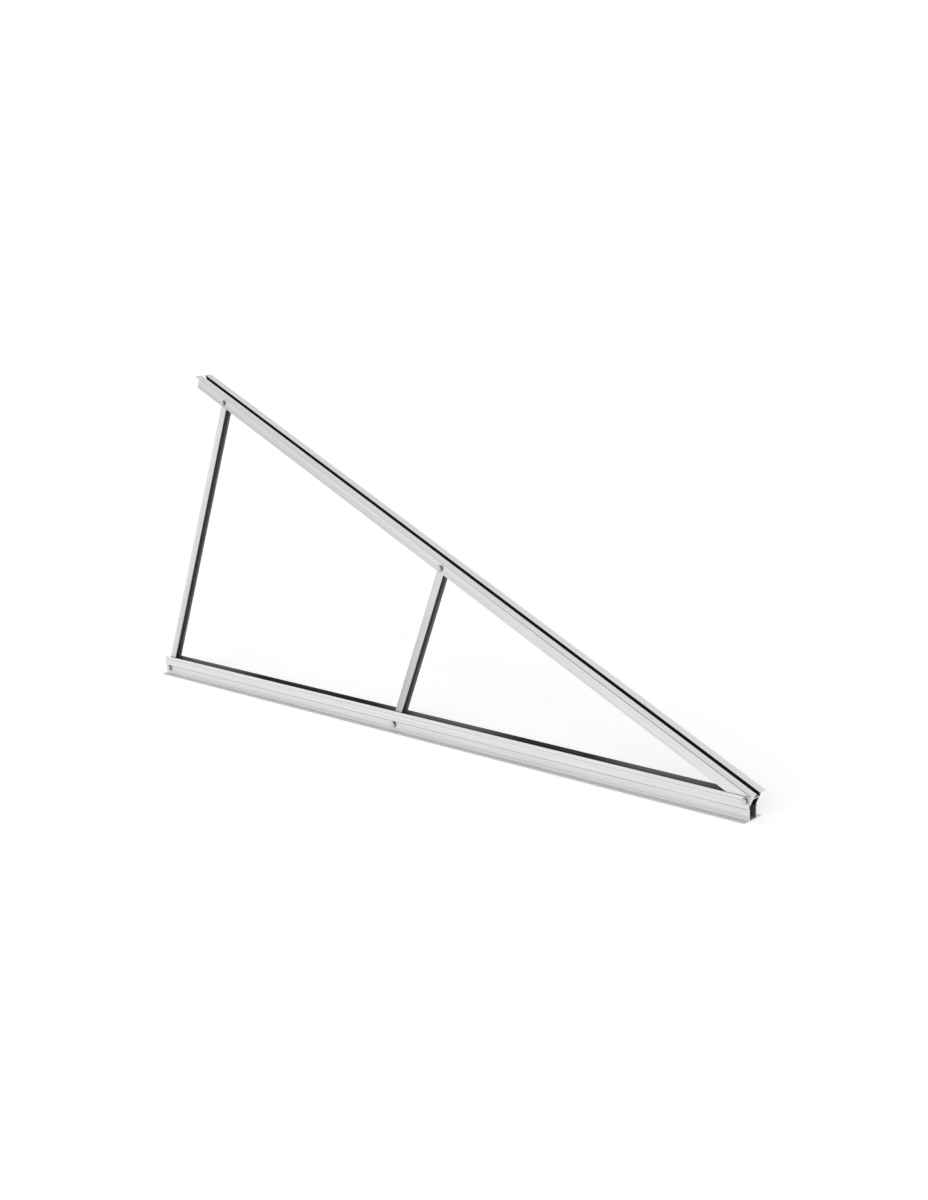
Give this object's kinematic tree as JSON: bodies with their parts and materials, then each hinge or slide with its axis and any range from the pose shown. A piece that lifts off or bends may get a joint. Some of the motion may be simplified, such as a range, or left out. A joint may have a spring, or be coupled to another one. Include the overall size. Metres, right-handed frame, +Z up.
{
  "type": "solar ballast mount",
  "caption": "Triangular aluminium frame that tilts solar modules on a flat roof: ballasted base rail, slotted top rail and two struts, bolted rigid.",
  "frame": {"origin": "on the ground, at the middle of the frame's footprint box", "axes": "+X along the base rail towards the low toe, +Y across the rails to the nut side, +Z up"},
  "size_m": [2.345, 0.07, 1.009],
  "materials": {
    "rail_aluminium": "mill finish, lightly drawn along the rail",
    "strut_aluminium": "mill finish, drawn along the strut",
    "stainless_steel": "plain stainless, satin"
  },
  "bodies": {
    "root": {"base_rail": "rail_aluminium", "top_rail": "rail_aluminium", "front_strut": "strut_aluminium", "rear_strut": "strut_aluminium", "toe_bolt": "stainless_steel", "toe_washer": "stainless_steel", "toe_nut_washer": "stainless_steel", "toe_lock_nut": "stainless_steel", "front_top_bolt": "stainless_steel", "front_top_washer": "stainless_steel", "front_top_nut_washer": "stainless_steel", "front_top_lock_nut": "stainless_steel", "front_bottom_bolt": "stainless_steel", "front_bottom_washer": "stainless_steel", "front_bottom_nut_washer": "stainless_steel", "front_bottom_lock_nut": "stainless_steel", "rear_top_bolt": "stainless_steel", "rear_top_washer": "stainless_steel", "rear_top_nut_washer": "stainless_steel", "rear_top_lock_nut": "stainless_steel", "rear_bottom_bolt": "stainless_steel", "rear_bottom_washer": "stainless_steel", "rear_bottom_nut_washer": "stainless_steel", "rear_bottom_lock_nut": "stainless_steel"}
  },
  "joints": []
}
